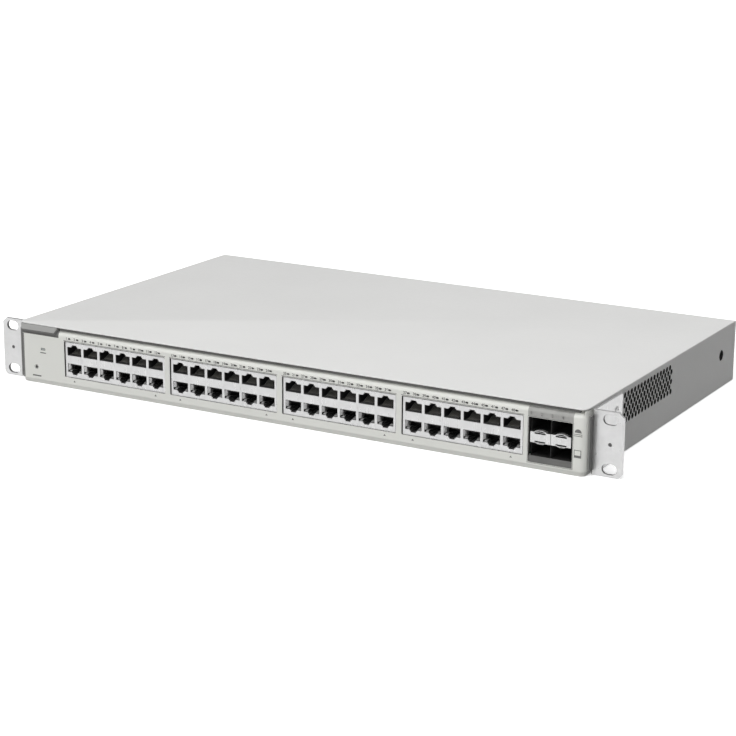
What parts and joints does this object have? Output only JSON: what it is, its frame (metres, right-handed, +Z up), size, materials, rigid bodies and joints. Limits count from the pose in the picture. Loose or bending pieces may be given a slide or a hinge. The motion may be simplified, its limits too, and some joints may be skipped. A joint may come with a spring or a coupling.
{
  "type": "rackmount network switch",
  "caption": "Rack-mounted Ethernet switch, one unit high, with two-row RJ45 port groups, SFP cages, side vents, a side fan and two rack ears.",
  "frame": {"origin": "middle of the underside of the whole part's box, on the plane it stands on", "axes": "+X to the right along the front, -Y out of the front panel, +Z up"},
  "size_m": [0.4826, 0.2664, 0.044],
  "materials": {
    "cover_paint": "fine textured powder coat, warm light grey",
    "bezel_paint": "satin light grey paint, slightly warmer than the cover",
    "plate_grey": "satin mid grey, blank",
    "ear_steel": "bright white satin finish on steel",
    "screw_steel": "nickel plated, satin",
    "nickel_shell": "bright nickel plated stamping",
    "black_moulding": "black glass-filled moulding",
    "chip_epoxy": "black epoxy",
    "clear_plastic": "clear light-pipe plastic",
    "green_board": "green solder mask over copper",
    "psu_board": "tan single-sided board",
    "fin_aluminium": "extruded, anodised clear",
    "transformer_tape": "yellow polyester tape over ferrite",
    "capacitor_sleeve": "dark blue shrink sleeve",
    "inlet_plastic": "black nylon",
    "wire_pvc": "black PVC wire",
    "fan_plastic": "black PBT"
  },
  "bodies": {
    "chassis": {"top_cover": "cover_paint", "base_pan": "cover_paint", "front_bezel": "bezel_paint", "name_plate": "plate_grey", "rack_ear_right": "ear_steel", "rack_ear_left": "ear_steel", "ear_screw_right_1": "screw_steel", "ear_screw_right_2": "screw_steel", "ear_screw_right_3": "screw_steel", "ear_screw_left_1": "screw_steel", "ear_screw_left_2": "screw_steel", "ear_screw_left_3": "screw_steel", "cover_screw_1": "screw_steel", "cover_screw_2": "screw_steel", "cover_screw_3": "screw_steel", "rj45_shield_1": "nickel_shell", "rj45_housing_1": "black_moulding", "magnetics_bank_1": "chip_epoxy", "light_pipe_1": "clear_plastic", "rj45_shield_2": "nickel_shell", "rj45_housing_2": "black_moulding", "magnetics_bank_2": "chip_epoxy", "light_pipe_2": "clear_plastic", "rj45_shield_3": "nickel_shell", "rj45_housing_3": "black_moulding", "magnetics_bank_3": "chip_epoxy", "light_pipe_3": "clear_plastic", "rj45_shield_4": "nickel_shell", "rj45_housing_4": "black_moulding", "magnetics_bank_4": "chip_epoxy", "light_pipe_4": "clear_plastic", "light_pipe_sfp": "clear_plastic", "sfp_cage": "nickel_shell", "sfp_connector_lower_left": "black_moulding", "sfp_connector_lower_right": "black_moulding", "sfp_connector_upper_left": "black_moulding", "sfp_connector_upper_right": "black_moulding", "reset_switch": "black_moulding", "status_lens": "clear_plastic", "main_board": "green_board", "board_screw_1": "screw_steel", "board_screw_2": "screw_steel", "board_screw_3": "screw_steel", "board_screw_4": "screw_steel", "switch_chip": "chip_epoxy", "switch_chip_heatsink": "fin_aluminium", "phy_chip_1": "chip_epoxy", "phy_heatsink_1": "fin_aluminium", "phy_chip_2": "chip_epoxy", "phy_heatsink_2": "fin_aluminium", "psu_board": "psu_board", "psu_transformer": "transformer_tape", "psu_bulk_capacitor": "capacitor_sleeve", "psu_heatsink": "fin_aluminium", "ac_inlet": "inlet_plastic", "earth_screw": "screw_steel", "dc_harness": "wire_pvc", "fan_frame": "fan_plastic"},
    "reset_plunger": {"reset_button": "black_moulding"},
    "fan_wheel": {"fan_rotor": "fan_plastic"}
  },
  "joints": [
    {"name": "reset_press", "type": "slide", "parent": "chassis", "child": "reset_plunger", "axis": [0, 1, 0], "range_m": [0, 0.001], "stiffness_N_per_m": 800},
    {"name": "fan_spin", "type": "hinge", "parent": "chassis", "child": "fan_wheel", "pos_m": [-0.2087, -0.02125, 0.0219], "axis": [1, 0, 0], "continuous": true}
  ]
}
